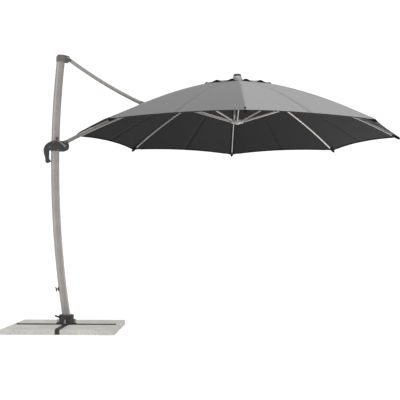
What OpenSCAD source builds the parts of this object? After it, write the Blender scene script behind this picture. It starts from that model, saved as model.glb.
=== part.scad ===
// Cantilever parasol: ballasted cross base, bowed side mast, lever slider with crank,
// arched boom held by a stay, and an eight-rib octagonal canopy that folds by a runner.
// Millimetres, +Z up. The origin is on the ground at the turning axis of the mast.
// The boom and the mast bow lie in the XZ plane, with the boom along +X.

/* [Base] */
// Side of one square ballast slab
slab_side = 500; // [400:10:520]
// Thickness of one ballast slab
slab_thick = 47; // [40:1:50]
// Gap between neighbouring slabs
slab_gap = 50; // [46:1:60]
// Turn of the cross base from the boom plane, in degrees
base_turn = -22.5; // [-45:0.5:45]
// Width of the upright web of a cross arm
arm_w = 38; // [30:1:40]
// Height of a cross arm
arm_h = 58; // [56:1:66]
// Wall of a cross arm
arm_wall = 3; // [2:0.5:4]
// Distance from a slab's outer edge in to an arm's end
arm_inset = 52; // [40:1:90]
// Width of the flange that a slab lies on
flange_w = 110; // [90:1:140]
// Length of an arm end cap outside the arm
cap_len = 12; // [8:1:20]

/* [Turning foot] */
// Radius of the turn plate
turn_plate_r = 72; // [66:1:76]
// Thickness of the turn plate
turn_plate_t = 10; // [6:1:14]
// Distance of the arm bolts from the turning axis
turn_bolt_r = 85; // [84:1:90]
// Radius of the fixed spigot
spigot_r = 30; // [26:0.5:34]
// Outside radius of the turret housing
turret_r = 72; // [70:1:76]
// Height of the turret housing's top
turret_top = 148; // [144:1:160]
// Reach of the foot pedal from the turning axis
pedal_reach = 112; // [106:1:124]
// Width of the foot pedal
pedal_w = 42; // [34:1:46]

/* [Mast] */
// Radius of the mast's bow
mast_bow_r = 9751; // [9000:1:12000]
// Height at which the bow reaches furthest back
mast_bow_z = 1741; // [1700:1:1780]
// Height of the mast's lower end
mast_bottom_z = 130; // [128:1:134]
// Height of the mast's upper end
mast_top_z = 2687; // [2683:1:2691]
// Depth of the mast section in the boom plane
mast_d = 80; // [76:1:84]
// Width of the mast section
mast_w = 60; // [56:1:62]
// Wall of the mast extrusion
mast_wall = 3; // [2.5:0.5:4]
// Width of the grooves down each flank
groove_w = 6; // [4:0.5:8]
// Height of the cord cleat
cleat_z = 398; // [300:1:600]

/* [Stay and boom] */
// Depth of the stay section
stay_d = 38; // [34:1:40]
// Width of the stay section
stay_w = 24; // [20:1:28]
// Sag of the bowed stay
stay_sag = 28; // [20:1:30]
// Depth of the boom section
boom_d = 38; // [36:1:40]
// Width of the boom section
boom_w = 40; // [36:1:41]
// Wall of the boom and stay tubes
tube_wall = 2.5; // [2:0.5:3]
// Radius of the boom's arch
boom_arch_r = 6400; // [6200:10:6600]
// Slope of the boom at its middle pivot, in degrees
boom_slope = 21.5; // [21:0.1:22]

/* [Pivots] */
// Head pivot of the stay: distance along the boom plane and height
head_pivot = [-28, 2688];
// Middle pivot, where the stay carries the boom
mid_pivot = [830, 2260];
// Slider pivot at the foot of the boom
slider_pivot = [-47, 1835];
// Radius of the head and middle pins
pin_r = 6; // [5:0.5:7]
// Radius of the slider pin
slider_pin_r = 7; // [6:0.5:8]

/* [Slider] */
// Height of the slider's lower face
slider_z = 1751; // [1749:1:1755]
// Height of the slider housing
slider_h = 100; // [98:1:104]
// Width of the slider housing
slider_w = 80; // [78:1:86]
// Radius of the crank boss at the right of the slider
lobe_r = 50; // [48:1:52]
// Length of the crank arm
crank_len = 109; // [90:1:120]
// Resting angle of the crank arm, in degrees
crank_angle = 141; // [130:1:150]
// Width of the grip
grip_w = 29; // [24:1:30]

/* [Canopy] */
// Distance from the turning axis to the canopy's middle
canopy_x = 1840; // [1835:1:1845]
// Radius of the canopy at its corners
canopy_r = 1750; // [1700:10:1800]
// Height of the fabric at the corners
rim_z = 2006; // [2004:1:2012]
// Height of the fabric at the top
apex_z = 2639; // [2637:1:2641]
// Bow of the ribs over their length
rib_sag = 68; // [60:1:72]
// Depth of the curve that each rim edge is cut to
scallop = 45; // [30:1:60]
// Thickness of the fabric solid
fabric_t = 2.5; // [2:0.5:3]
// Corner radius of the vent cap
vent_r = 450; // [400:10:480]
// Depth of the vent cap's small scallops
vent_scallop = 22; // [12:1:30]

/* [Ribs] */
// Depth of a rib
rib_d = 22; // [20:1:24]
// Width of a rib
rib_w = 14; // [12:0.5:14]
// Wall of a rib
rib_wall = 1.5; // [1:0.1:2]
// Depth of a stretcher
stretcher_d = 18; // [16:1:20]
// Width of a stretcher
stretcher_w = 12; // [11:0.5:13]
// Radius of the circle of pivots on the crown and the runner
hinge_r = 55; // [54:0.5:57]
// Distance from the canopy's middle to where the stretchers meet the ribs
stretch_at = 780; // [740:5:820]
// Drop of the stretcher pivot below the rib's middle line
stretch_drop = 24; // [23:0.5:26]
// Radius of the rib and stretcher pins
rib_pin_r = 3; // [2.5:0.1:3.5]

/* [Fits] */
// Gap between pieces that touch
seat = 0.3; // [0.2:0.05:0.4]
// Radial clearance of a pin in a bore that turns on it
running = 0.06; // [0.03:0.01:0.1]
// Clearance of the slider's window in front of and behind the mast
window_x = 4; // [3.8:0.1:4.4]
// Clearance of the slider's window beside the mast
window_y = 1.5; // [1:0.1:2]

/* [Hidden] */
RIBS = 8;
half_step = 180 / RIBS;
rib_azimuths = [for (k = [0 : RIBS - 1]) half_step + k * 2 * half_step];

// Fine and coarse counts for round shapes; a long shallow arc needs a fine one
fine = 64;
arc_fine = 1080;
big = 4000;

alu = "#a09c9e";
cast_grey = "#7d7a7c";
plastic_dark = "#3a383a";
black = "#1c1b1c";
zinc = "#c4c4c2";
concrete = "#cac8c2";
fabric_grey = "#8b8b8b";

// Base
arm_half = slab_gap / 2 + slab_side - arm_inset;
plate_z = arm_h;
ring_z = plate_z + turn_plate_t + seat;
ring_t = 3.7;
turret_z = ring_z + ring_t + seat;
spigot_top = turret_z + 38;
pedal_axis = [-56, turret_top - 25];
pedal_pin_r = 4;

// Mast bow: the circle's middle lies in front of the mast, level with the deepest bow
mast_c = [sqrt(mast_bow_r ^ 2 - (mast_bow_z - mast_bottom_z) ^ 2), mast_bow_z];
function mast_x(z) = mast_c[0] - sqrt(mast_bow_r ^ 2 - (z - mast_bow_z) ^ 2);
function mast_rise(z) = asin((z - mast_bow_z) / mast_bow_r);

// Stay: circle through both pivots, bowed downward
stay_span = mid_pivot - head_pivot;
stay_chord = norm(stay_span);
stay_r = (stay_chord ^ 2 / 4 + stay_sag ^ 2) / (2 * stay_sag);
stay_up = [-stay_span[1], stay_span[0]] / stay_chord;
stay_c = (head_pivot + mid_pivot) / 2 + stay_up * (stay_r - stay_sag);
stay_a0 = atan2(head_pivot[1] - stay_c[1], head_pivot[0] - stay_c[0]);
stay_a1 = atan2(mid_pivot[1] - stay_c[1], mid_pivot[0] - stay_c[0]);
function along_stay(d) = d / stay_r * 180 / PI;

// Boom: arch through the middle pivot, slope falling towards the crown
boom_c = mid_pivot + boom_arch_r * [sin(boom_slope), -cos(boom_slope)];
function boom_at(a) = boom_c + boom_arch_r * [-sin(a), cos(a)];
function boom_angle(x) = asin((boom_c[0] - x) / boom_arch_r);
crown_angle = boom_angle(canopy_x);
crown_pin = boom_at(crown_angle);
neck_len = 170;
foot_len = 40;
function along_boom(d) = d / boom_arch_r * 180 / PI;
boom_foot_angle = boom_angle(slider_pivot[0]) - along_boom(foot_len);
boom_neck_angle = crown_angle + along_boom(neck_len);
tongue_w = 30;
neck_w = 20;
mid_boss_r = 20;
fork_t = 6;
fork_in = boom_w / 2 + 0.8;

// Slider
lobe = [-52, slider_z + lobe_r];
crank_axis = [lobe[0], lobe[1] - 1];
crank_pin_r = 6;
knob_pin_r = 4;
grip_axis = [-198, slider_z + 35];
grip_pin_r = 5;
shoulder_c = [-152, slider_z + 1];
shoulder_r = 96;
cover_t = 4;
knob_at = crank_axis + crank_len * [cos(crank_angle), sin(crank_angle)];

// Canopy: circle of the fabric's top over a rib, in that rib's own plane
tip_drop = apex_z - rim_z;
rib_chord = norm([canopy_r, tip_drop]);
fabric_r = (rib_chord ^ 2 / 4 + rib_sag ^ 2) / (2 * rib_sag);
fabric_up = [tip_drop, canopy_r] / rib_chord;
fabric_c = [canopy_r / 2, (apex_z + rim_z) / 2] - fabric_up * (fabric_r - rib_sag);
rib_gap = 4.5;
rib_r = fabric_r - fabric_t - rib_gap - rib_d / 2;
function on_rib(r) = fabric_c[1] + sqrt(rib_r ^ 2 - (r - fabric_c[0]) ^ 2);
function rib_angle(r) = asin((r - fabric_c[0]) / rib_r);
crown_z = on_rib(hinge_r);
stretch_angle = rib_angle(stretch_at);
rib_mid = fabric_c + (rib_r - stretch_drop) * [sin(stretch_angle), cos(stretch_angle)];
runner_z = 2 * rib_mid[1] - crown_z;
stretcher_len = norm([rib_mid[0] - hinge_r, rib_mid[1] - runner_z]);
stretcher_angle = atan2(runner_z - rib_mid[1], hinge_r - rib_mid[0]);
rib_from = 80;
rib_to = canopy_r - 38;
tip_r = 12.5;
drain_r = 1.5;
lug_w = 12;
tongue_st = 10;
post_r = 14;
hub_core_r = 42;
hub_out_r = 67;
hub_t = 22;
hinge_pin_len = 26;
runner_out_r = 66;
runner_t = 26;

// Panel profile: same rise over the shorter distance to the middle of a rim edge
panel_a = canopy_r * cos(half_step);
panel_chord = norm([panel_a, tip_drop]);
panel_sag = rib_sag * rib_chord / canopy_r * panel_a / panel_chord;
panel_r = (panel_chord ^ 2 / 4 + panel_sag ^ 2) / (2 * panel_sag);
panel_up = [tip_drop, panel_a] / panel_chord;
panel_c = [panel_a / 2, (apex_z + rim_z) / 2] - panel_up * (panel_r - panel_sag);
panel_rim_angle = asin((panel_a - panel_c[0]) / panel_r);
rim_side = 2 * canopy_r * sin(half_step);
scallop_r = (rim_side ^ 2 / 4 + scallop ^ 2) / (2 * scallop);
corner_cut = 4;
vent_apex_z = apex_z + 20;
finial_h = 24;
vent_a = vent_r * cos(half_step);
function fabric_top(a) = panel_c[1] + sqrt(panel_r ^ 2 - (a - panel_c[0]) ^ 2);
vent_rim_z = fabric_top(vent_a) + seat + fabric_t;
vent_half = vent_r * sin(half_step) / 2;
vent_scallop_r = (vent_half ^ 2 + vent_scallop ^ 2) / (2 * vent_scallop);
slit_x = [mid_pivot[0] - 125, mid_pivot[0] + 100];
slit_w = 60;

// Solid of width w from an outline in the boom plane
module slab_xz(w) {
    rotate([90, 0, 0])
        linear_extrude(height = w, center = true)
            children();
}

// Pin along Y with its middle on the boom plane
module pin_y(at, r, len) {
    translate([at[0], 0, at[1]])
        rotate([90, 0, 0])
            cylinder(h = len, r = r, center = true, $fn = fine);
}

// Section swept along a circular arc in the XZ plane, by angles from +X
module arc_bar(c, r, from, to) {
    translate([c[0], 0, c[1]])
        rotate([90, 0, 0])
            rotate([0, 0, from])
                rotate_extrude(angle = to - from, $fn = arc_fine)
                    translate([r, 0])
                        children();
}

// Flat-sided oval, d along X and w along Y
module oval(d, w) {
    short = min(d, w);
    reach = (max(d, w) - short) / 2;
    along = d > w ? [1, 0] : [0, 1];
    for (side = [-1, 1])
        translate(side * reach * along)
            circle(d = short, $fn = fine);
    if (d > w)
        square([2 * reach, w], center = true);
    else
        square([d, 2 * reach], center = true);
}

// Rectangle with round corners, d along X and w along Y
module soft_rect(d, w, r) {
    for (x = [-1, 1])
        for (y = [-1, 1])
            translate([x * (d / 2 - r), y * (w / 2 - r)])
                circle(r = r, $fn = fine);
    square([d - 2 * r, w], center = true);
    square([d, w - 2 * r], center = true);
}

// Mast bar of a given section between two heights
module mast_bar(z0, z1) {
    arc_bar(mast_c, mast_bow_r, 180 - mast_rise(z1), 180 - mast_rise(z0))
        children();
}

// ---- Base ----

module cross_frame() {
    color(black)
    rotate([0, 0, base_turn])
    difference() {
        for (turn = [0, 90])
            rotate([0, 0, turn]) {
                translate([-arm_half, -arm_w / 2, 0])
                    cube([2 * arm_half, arm_w, arm_h]);
                translate([-arm_half, -flange_w / 2, 0])
                    cube([2 * arm_half, flange_w, arm_wall]);
            }
        for (turn = [0, 90])
            rotate([0, 0, turn])
                translate([-arm_half - 1, -arm_w / 2 + arm_wall, arm_wall])
                    cube([2 * arm_half + 2, arm_w - 2 * arm_wall, arm_h - 2 * arm_wall]);
        for (turn = [0 : 90 : 270])
            rotate([0, 0, turn])
                translate([turn_bolt_r, 0, arm_h / 2])
                    cylinder(h = arm_h, r = 6.3, $fn = fine);
    }
}

// Push-in end cap with a rounded face
module arm_cap(k) {
    color(black)
    rotate([0, 0, base_turn + 90 * k]) {
        translate([arm_half + seat, 0, (arm_h + 3) / 2])
            rotate([90, 0, 90])
                linear_extrude(height = cap_len)
                    soft_rect(arm_w + 9, arm_h + 3, 12);
        translate([arm_half - 20, -arm_w / 2 + arm_wall + seat, arm_wall + seat])
            cube([20 + 2 * seat, arm_w - 2 * arm_wall - 2 * seat, arm_h - 2 * arm_wall - 2 * seat]);
    }
}

// Concrete slab with a worn upper edge
module ballast_slab(k) {
    edge = 3;
    color(concrete)
    rotate([0, 0, base_turn + 90 * k])
    translate([slab_gap / 2, slab_gap / 2, arm_wall])
    hull() {
        cube([slab_side, slab_side, slab_thick - edge]);
        translate([edge, edge, 0])
            cube([slab_side - 2 * edge, slab_side - 2 * edge, slab_thick]);
    }
}

module turn_plate() {
    lug_out = turn_bolt_r + 14;
    color(black)
    rotate([0, 0, base_turn])
    difference() {
        union() {
            translate([0, 0, plate_z])
                cylinder(h = turn_plate_t, r = turn_plate_r, $fn = 2 * fine);
            for (turn = [0, 90])
                rotate([0, 0, turn])
                    translate([0, 0, plate_z])
                        linear_extrude(height = turn_plate_t)
                            oval(2 * lug_out, arm_w);
            translate([0, 0, plate_z + turn_plate_t / 2])
                cylinder(h = spigot_top - plate_z - turn_plate_t / 2, r = spigot_r, $fn = 2 * fine);
        }
        translate([0, 0, plate_z - 1])
            cylinder(h = spigot_top, r = spigot_r - 5, $fn = fine);
        for (turn = [0 : 90 : 270])
            rotate([0, 0, turn])
                translate([turn_bolt_r, 0, plate_z - 1])
                    cylinder(h = turn_plate_t + 2, r = 6.3, $fn = fine);
    }
}

// Four studs with nuts that hold the turn plate on the arms
module turn_bolts() {
    color(zinc)
    rotate([0, 0, base_turn])
    for (turn = [0 : 90 : 270])
        rotate([0, 0, turn])
            translate([turn_bolt_r, 0, 0]) {
                translate([0, 0, arm_h - arm_wall - seat - 8])
                    cylinder(h = 8, r = 10, $fn = 6);
                translate([0, 0, arm_h - arm_wall - seat - 4])
                    cylinder(h = 52, r = 6, $fn = fine);
                translate([0, 0, plate_z + turn_plate_t + seat])
                    cylinder(h = 2, r = 11.5, $fn = fine);
                translate([0, 0, plate_z + turn_plate_t + seat + 2])
                    cylinder(h = 10, r = 10, $fn = 6);
            }
}

module bearing_ring() {
    color(plastic_dark)
    translate([0, 0, ring_z])
    difference() {
        cylinder(h = ring_t, r = turret_r - 2, $fn = 2 * fine);
        translate([0, 0, -1])
            cylinder(h = ring_t + 2, r = spigot_r + 1, $fn = 2 * fine);
    }
}

// ---- Turning foot and mast ----

module turret_housing() {
    crown = 9;
    recess_w = pedal_w + 2;
    color(plastic_dark)
    difference() {
        union() {
            translate([0, 0, turret_z])
                cylinder(h = turret_top - crown - turret_z, r = turret_r, $fn = 2 * fine);
            rotate_extrude($fn = 2 * fine) {
                translate([turret_r - crown, turret_top - crown])
                    intersection() {
                        circle(r = crown, $fn = fine);
                        square(crown);
                    }
                translate([0, turret_top - crown - 1])
                    square([turret_r - crown, crown + 1]);
            }
        }
        translate([0, 0, turret_z - 1])
            cylinder(h = spigot_top + 1.5 - turret_z, r = spigot_r + running, $fn = 2 * fine);
        mast_bar(mast_bottom_z - seat, mast_bottom_z + 100)
            oval(mast_d + 2 * seat, mast_w + 2 * seat);
        translate([-turret_r - 10, -recess_w / 2, pedal_axis[1] - 14])
            cube([turret_r + 10 - 43, recess_w, 28]);
        pin_y(pedal_axis, pedal_pin_r + 0.1, 2 * turret_r);
        for (turn = [30 : 60 : 330])
            rotate([0, 0, turn])
                translate([turret_r, 0, turret_z + 16])
                    cylinder(h = turret_top - crown - turret_z - 26, r = 1.5, $fn = fine);
    }
}

module pedal_pin() {
    color(zinc)
        pin_y(pedal_axis, pedal_pin_r, pedal_w + 16);
}

// Spring-loaded pedal that frees the turret
module foot_pedal() {
    nose = -pedal_reach + 9;
    color(black)
    difference() {
        union() {
            slab_xz(pedal_w) {
                translate(pedal_axis)
                    circle(r = 9, $fn = fine);
                polygon([[pedal_axis[0], pedal_axis[1] - 9], [pedal_axis[0], pedal_axis[1] + 9],
                    [-turret_r - 4, pedal_axis[1] + 12], [nose, pedal_axis[1] + 18],
                    [nose, pedal_axis[1] + 6], [-turret_r - 8, pedal_axis[1] - 7]]);
                translate([nose, pedal_axis[1] + 12])
                    circle(r = 9, $fn = fine);
            }
        }
        pin_y(pedal_axis, pedal_pin_r + running, pedal_w + 2);
        for (x = [-98 : 7 : -84])
            translate([x, 0, pedal_axis[1] + 22.5])
                rotate([90, 0, 0])
                    cylinder(h = pedal_w - 10, r = 2.5, center = true, $fn = fine);
    }
}

// Hollow extrusion with three grooves down each flank
module mast_section() {
    core_d = mast_d - 2 * mast_wall;
    core_w = mast_w - 2 * mast_wall;
    groove_t = 3;
    difference() {
        oval(mast_d, mast_w);
        difference() {
            oval(core_d, core_w);
            for (side = [-1, 1])
                for (x = [-12, 0, 12])
                    translate([x, side * mast_w / 2])
                        square([groove_w + 4, 2 * (mast_wall + groove_t)], center = true);
        }
        for (side = [-1, 1])
            for (x = [-12, 0, 12])
                translate([x, side * mast_w / 2])
                    square([groove_w, 2 * groove_t], center = true);
    }
}

module mast_tube() {
    color(alu)
        mast_bar(mast_bottom_z, mast_top_z)
            mast_section();
}

// Two-horned cord cleat on the back of the mast
module mast_cleat() {
    back = mast_x(cleat_z) - mast_d / 2;
    lean = mast_rise(cleat_z);
    color(black)
    translate([back - seat, 0, cleat_z])
    rotate([0, lean, 0]) {
        translate([-3.5, 0, 0])
            rotate([0, -90, 0])
                linear_extrude(height = 5, center = true)
                    oval(42, 16);
        slab_xz(12) {
            translate([-14, 0])
                square([18, 14], center = true);
            translate([-24, 0])
                oval(10, 34);
            for (side = [-1, 1])
                translate([-26, side * 16])
                    circle(r = 6, $fn = fine);
        }
    }
}

cap_x0 = mast_x(mast_top_z) - mast_d / 2 - 2.5;
clevis_x = -60;

// Head casting that closes the mast
module head_cap() {
    z0 = head_pivot[1] - 43;
    z1 = head_pivot[1] + 23;
    corner = 14;
    color(cast_grey)
    difference() {
        slab_xz(mast_w + 7) {
            polygon([[cap_x0, z0], [clevis_x, z0], [clevis_x, z1], [cap_x0 + corner, z1],
                [cap_x0 + corner, z1 - corner], [cap_x0, z1 - corner]]);
            translate([cap_x0 + corner, z1 - corner])
                circle(r = corner, $fn = fine);
        }
        mast_bar(mast_top_z - 300, mast_top_z + seat)
            oval(mast_d + 2 * seat, mast_w + 2 * seat);
    }
}

// Dark fork that carries the stay, seated on the head casting
module head_clevis() {
    z0 = head_pivot[1] - 44;
    cheek_in = 19.8;
    cheek_r = 18;
    web_x = -47;
    color(plastic_dark)
    difference() {
        slab_xz(mast_w + 3) {
            polygon([[clevis_x + seat, z0], [head_pivot[0] + 14, z0], head_pivot + [22, -36],
                head_pivot + [22, -4], head_pivot + [9, 16], [clevis_x + seat, z0 + 66]]);
            translate(head_pivot)
                circle(r = cheek_r, $fn = fine);
        }
        translate([web_x, -cheek_in, z0 - 20])
            cube([100, 2 * cheek_in, 100]);
        mast_bar(mast_top_z - 300, mast_top_z + 6)
            oval(mast_d + 2 * seat, mast_w + 2 * seat);
        pin_y(head_pivot, pin_r + 0.1, 100);
    }
}

module head_pin() {
    color(zinc) {
        pin_y(head_pivot, pin_r, mast_w + 8);
        for (side = [-1, 1])
            translate([head_pivot[0], side * (mast_w / 2 + 4), head_pivot[1]])
                rotate([90, 0, 0])
                    cylinder(h = 4, r = pin_r + 4, center = true, $fn = fine);
    }
}

// ---- Stay ----

stay_from = stay_a0 + along_stay(46);
stay_to = stay_a1 - along_stay(84);

module stay_tube() {
    color(alu)
        arc_bar(stay_c, stay_r, stay_from, stay_to)
            difference() {
                oval(stay_d, stay_w);
                oval(stay_d - 2 * tube_wall, stay_w - 2 * tube_wall);
            }
}

// Upper end: an eye on the head pin with a shank inside the tube
module stay_eye() {
    shank_d = stay_d - 2 * tube_wall - 2 * seat;
    shank_w = stay_w - 2 * tube_wall - 2 * seat;
    color(cast_grey)
    difference() {
        union() {
            pin_y(head_pivot, 15, 38);
            arc_bar(stay_c, stay_r, stay_a0 + along_stay(3), stay_from - along_stay(seat))
                square([24, 34], center = true);
            arc_bar(stay_c, stay_r, stay_a0 + along_stay(20), stay_from + along_stay(40))
                oval(shank_d, shank_w);
        }
        pin_y(head_pivot, pin_r + running, 60);
    }
}

// Lower end: a cuff and two prongs astride the boom
module stay_fork() {
    shank_d = stay_d - 2 * tube_wall - 2 * seat;
    shank_w = stay_w - 2 * tube_wall - 2 * seat;
    prong_out = 2 * (fork_in + fork_t);
    color(plastic_dark)
    difference() {
        union() {
            arc_bar(stay_c, stay_r, stay_to - along_stay(40), stay_to + along_stay(6))
                oval(shank_d, shank_w);
            difference() {
                arc_bar(stay_c, stay_r, stay_to + along_stay(1), stay_a1)
                    soft_rect(stay_d - 2, prong_out, 4);
                arc_bar(stay_c, stay_r, stay_to + along_stay(18), stay_a1 + 1)
                    square([stay_d + 9, 2 * fork_in], center = true);
            }
            difference() {
                pin_y(mid_pivot, mid_boss_r, prong_out);
                pin_y(mid_pivot, mid_boss_r + 1, 2 * fork_in);
            }
            difference() {
                arc_bar(stay_c, stay_r, stay_to - along_stay(16), stay_to + along_stay(5))
                    soft_rect(stay_d + 6, stay_w + 6, 10);
                arc_bar(stay_c, stay_r, stay_to - along_stay(20), stay_to + along_stay(seat))
                    oval(stay_d + 2 * seat, stay_w + 2 * seat);
            }
        }
        pin_y(mid_pivot, pin_r + running, 100);
    }
}

// ---- Boom ----

module boom_section(d, w) {
    soft_rect(d, w, min(d, w) * 0.28);
}

module boom_tube() {
    color(alu)
    difference() {
        arc_bar(boom_c, boom_arch_r, 90 + boom_neck_angle, 90 + boom_foot_angle)
            difference() {
                boom_section(boom_d, boom_w);
                boom_section(boom_d - 2 * tube_wall, boom_w - 2 * tube_wall);
            }
        pin_y(mid_pivot, pin_r + 0.1, 100);
    }
}

// Foot casting: tongue on the slider pin, shank inside the tube
module boom_foot() {
    inner_d = boom_d - 2 * tube_wall - 2 * seat;
    inner_w = boom_w - 2 * tube_wall - 2 * seat;
    root = boom_at(boom_foot_angle);
    rise = boom_foot_angle;
    reach = [cos(rise), sin(rise)];
    side = [-sin(rise), cos(rise)];
    tail = root - 1 * reach;
    color(plastic_dark)
    difference() {
        union() {
            slab_xz(tongue_w) {
                translate(slider_pivot)
                    circle(r = 21, $fn = fine);
                polygon([slider_pivot - 21 * side, tail - 19 * side, tail + 19 * side,
                    slider_pivot + 21 * side]);
            }
            arc_bar(boom_c, boom_arch_r, 90 + boom_foot_angle - along_boom(45),
                90 + boom_foot_angle + along_boom(6))
                boom_section(inner_d, inner_w);
        }
        pin_y(slider_pivot, slider_pin_r + running, 100);
    }
}

// Crown end: a flat neck that passes between two folded ribs
module boom_neck() {
    inner_d = boom_d - 2 * tube_wall - 2 * seat;
    inner_w = boom_w - 2 * tube_wall - 2 * seat;
    color(cast_grey)
    difference() {
        union() {
            arc_bar(boom_c, boom_arch_r, 90 + crown_angle, 90 + boom_neck_angle)
                square([32, neck_w], center = true);
            pin_y(crown_pin, 17, neck_w);
            arc_bar(boom_c, boom_arch_r, 90 + boom_neck_angle - along_boom(4),
                90 + boom_neck_angle + along_boom(60))
                boom_section(inner_d, inner_w);
        }
        pin_y(crown_pin, pin_r + running, 60);
    }
}

// Pin through the boom with a head on each prong of the stay
module mid_pin() {
    out = fork_in + fork_t + seat;
    color(zinc) {
        pin_y(mid_pivot, pin_r, 2 * out + 2);
        for (side = [-1, 1])
            translate([mid_pivot[0], side * (out + 2.5), mid_pivot[1]])
                rotate([90, 0, 0])
                    cylinder(h = 5, r = pin_r + 4, center = true, $fn = fine);
    }
}

// ---- Slider, grip and crank ----

slider_top = slider_z + slider_h;

// Side outline: crank lobe, body and rounded shoulder over the grip
module slider_outline() {
    translate(lobe)
        circle(r = lobe_r, $fn = 2 * fine);
    translate([-170, slider_z])
        square([118, slider_h]);
    intersection() {
        translate(shoulder_c)
            circle(r = shoulder_r, $fn = 2 * fine);
        translate([-300, slider_z + 6])
            square([135, slider_h - 6]);
    }
}

// Plan outline, narrow at the shoulder and wide round the mast
module slider_plan() {
    x1 = lobe[0] + lobe_r;
    translate([(x1 - 200) / 2, 0])
        soft_rect(x1 + 200, slider_w, 16);
    translate([-195, 0])
        soft_rect(112, slider_w - 20, 24);
}

module slider_housing() {
    slot_x = slider_pivot[0] - 25;
    slot_w = tongue_w + 1.6;
    grip_slot = grip_w + 1;
    color(plastic_dark)
    difference() {
        intersection() {
            slab_xz(slider_w)
                slider_outline();
            translate([0, 0, slider_z - 1])
                linear_extrude(height = slider_h + 2)
                    slider_plan();
        }
        mast_bar(slider_z - 100, slider_top + 100)
            oval(mast_d + 2 * window_x, mast_w + 2 * window_y);
        translate([slot_x, -slot_w / 2, slider_pivot[1] - 24])
            cube([120, slot_w, 120]);
        translate([-300, -grip_slot / 2, slider_z - 1])
            cube([300 - 183, grip_slot, 54]);
        pin_y(slider_pivot, slider_pin_r + 0.1, 200);
        pin_y(grip_axis, grip_pin_r + 0.1, 200);
        translate([crank_axis[0], -slider_w / 2 + 30, crank_axis[1]])
            rotate([90, 0, 0])
                cylinder(h = 60, r = crank_pin_r + running, $fn = fine);
    }
}

// Pins for the boom's foot and for the grip
module slider_pin() {
    color(zinc) {
        pin_y(slider_pivot, slider_pin_r, slider_w - 2);
        pin_y(grip_axis, grip_pin_r, slider_w - 22);
    }
}

// Round cover over the cord drum
module winch_cover() {
    color(black)
    difference() {
        translate([crank_axis[0], -slider_w / 2 - seat, crank_axis[1]])
            rotate([90, 0, 0])
                cylinder(h = cover_t, r = 34, $fn = 2 * fine);
        translate([crank_axis[0], 0, crank_axis[1]])
            rotate([90, 0, 0])
                cylinder(h = 100, r = crank_pin_r + 1, $fn = fine);
    }
}

module slider_screws() {
    spots = [[-118, slider_z + 12], [-118, slider_top - 12], [-160, slider_top - 12]];
    color(zinc)
    for (side = [-1, 1])
        for (p = spots)
            translate([p[0], side * (slider_w / 2 + seat + 1.25), p[1]])
                rotate([90, 0, 0])
                    cylinder(h = 2.5, r = 4.5, center = true, $fn = fine);
}

function arc_points(c, r, from, to, steps) =
    [for (i = [0 : steps]) c + r * [cos(from + (to - from) * i / steps),
        sin(from + (to - from) * i / steps)]];

// Hook-shaped release grip with finger grooves
module grip_lever() {
    outer_c = [-108, shoulder_c[1]];
    outer_r = 140;
    heel = [-207, slider_z - 99];
    heel_r = 22;
    toe = [-187, slider_z - 103];
    inner_x = -195;
    color(plastic_dark)
    difference() {
        slab_xz(grip_w) {
            difference() {
                union() {
                    polygon(concat(
                        [[inner_x, slider_z + 4], grip_axis + [12, 0], grip_axis + [6, 12],
                            grip_axis + [-14, 14]],
                        arc_points(shoulder_c, shoulder_r - 1, 158, 180, 6),
                        arc_points(outer_c, outer_r - 1, 181, 206, 8),
                        [heel + [-heel_r + 0.4, 3], heel, [inner_x, slider_z - 84]]));
                    translate(heel)
                        circle(r = heel_r, $fn = fine);
                    translate(toe)
                        circle(r = 9.5, $fn = fine);
                    translate(grip_axis)
                        circle(r = 13, $fn = fine);
                }
                for (k = [0 : 2])
                    translate([inner_x + 11, slider_z - 20 - 25 * k])
                        circle(r = 13, $fn = fine);
            }
        }
        pin_y(grip_axis, grip_pin_r + running, 100);
    }
}

module crank_arm() {
    y0 = -slider_w / 2 - seat - cover_t - seat;
    bar_t = 7;
    color(alu) {
        translate([crank_axis[0], -slider_w / 2 + 24, crank_axis[1]])
            rotate([90, 0, 0])
                cylinder(h = -y0 - slider_w / 2 + 24 + 14, r = crank_pin_r, $fn = fine);
        translate([crank_axis[0], y0, crank_axis[1]])
            rotate([90, 0, 0])
                cylinder(h = 14, r = 12, $fn = fine);
        translate([knob_at[0], y0 - 14, knob_at[1]])
            rotate([90, 0, 0])
                cylinder(h = 58, r = knob_pin_r, $fn = fine);
        translate([0, y0 - 14 + bar_t, 0])
            rotate([90, 0, 0])
                linear_extrude(height = bar_t)
                    translate((crank_axis + knob_at) / 2)
                        rotate(crank_angle)
                            oval(crank_len + 16, 16);
    }
}

// Turned knob that spins on the crank's pin
module crank_knob() {
    y0 = -slider_w / 2 - 2 * seat - cover_t - 14;
    color(black)
    translate([knob_at[0], y0 - seat, knob_at[1]])
    rotate([90, 0, 0])
    difference() {
        rotate_extrude($fn = fine)
            difference() {
                union() {
                    square([9, 50]);
                    translate([0, 12])
                        square([12, 30]);
                    translate([0, 42])
                        intersection() {
                            circle(r = 12, $fn = fine);
                            square(12);
                        }
                    translate([0, 7])
                        square([10.5, 6]);
                }
                translate([21, 26])
                    circle(r = 11, $fn = fine);
            }
        translate([0, 0, -1])
            cylinder(h = 60, r = knob_pin_r + running, $fn = fine);
    }
}

// ---- Crown and canopy ----

// Places children built in the plane of rib k about the canopy's axis
module at_rib(k) {
    translate([canopy_x, 0, 0])
        rotate([0, 0, rib_azimuths[k]])
            children();
}

// Hub disc with one slot for each rib or stretcher and bores for their pins
module slotted_hub(z0, t, pin_z, out_r, slot_w) {
    difference() {
        translate([canopy_x, 0, z0])
            cylinder(h = t, r = out_r, $fn = 2 * fine);
        for (k = [0 : RIBS - 1])
            at_rib(k) {
                translate([hub_core_r, -slot_w / 2, z0 - 1])
                    cube([out_r, slot_w, t + 2]);
                pin_y([hinge_r, pin_z], rib_pin_r + 0.1, hinge_pin_len + 1);
            }
    }
}

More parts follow.
